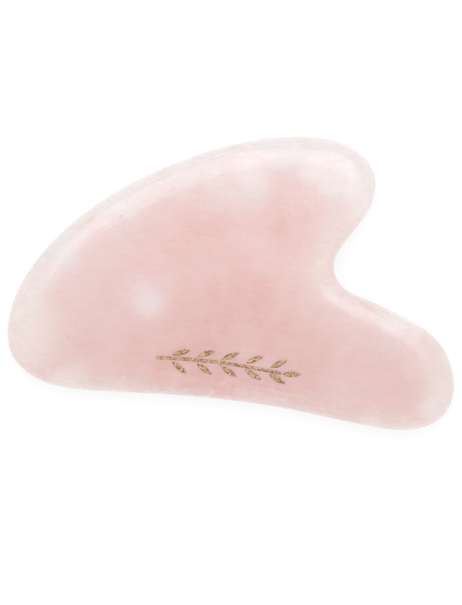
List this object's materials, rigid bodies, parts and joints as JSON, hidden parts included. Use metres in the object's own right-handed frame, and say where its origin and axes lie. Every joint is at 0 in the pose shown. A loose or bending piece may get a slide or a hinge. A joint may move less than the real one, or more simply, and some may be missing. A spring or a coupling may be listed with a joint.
{
  "type": "gua sha board",
  "caption": "Flat hand-held massage board of polished rose quartz with a rounded rim, a horn and a tail either side of a notch, and a gilded leaf sprig engraved in its face.",
  "frame": {"origin": "middle of the board's length and width, on its plain resting face", "axes": "+X along the board's length towards the horn and the tail, +Y across it towards the long curved back, +Z through its thickness, out of the engraved face"},
  "size_m": [0.096, 0.0596, 0.007],
  "materials": {
    "rose_quartz": "hand-polished, translucent",
    "gilt_paint": "gold glitter"
  },
  "bodies": {
    "root": {"gilt_leaf_lower_1": "gilt_paint", "gilt_leaf_lower_2": "gilt_paint", "gilt_leaf_lower_3": "gilt_paint", "gilt_leaf_lower_4": "gilt_paint", "gilt_leaf_lower_5": "gilt_paint", "gilt_leaf_tip": "gilt_paint", "gilt_leaf_upper_1": "gilt_paint", "gilt_leaf_upper_2": "gilt_paint", "gilt_leaf_upper_3": "gilt_paint", "gilt_leaf_upper_4": "gilt_paint", "gilt_leaf_upper_5": "gilt_paint", "gilt_stem": "gilt_paint", "quartz_board": "rose_quartz"}
  },
  "joints": []
}
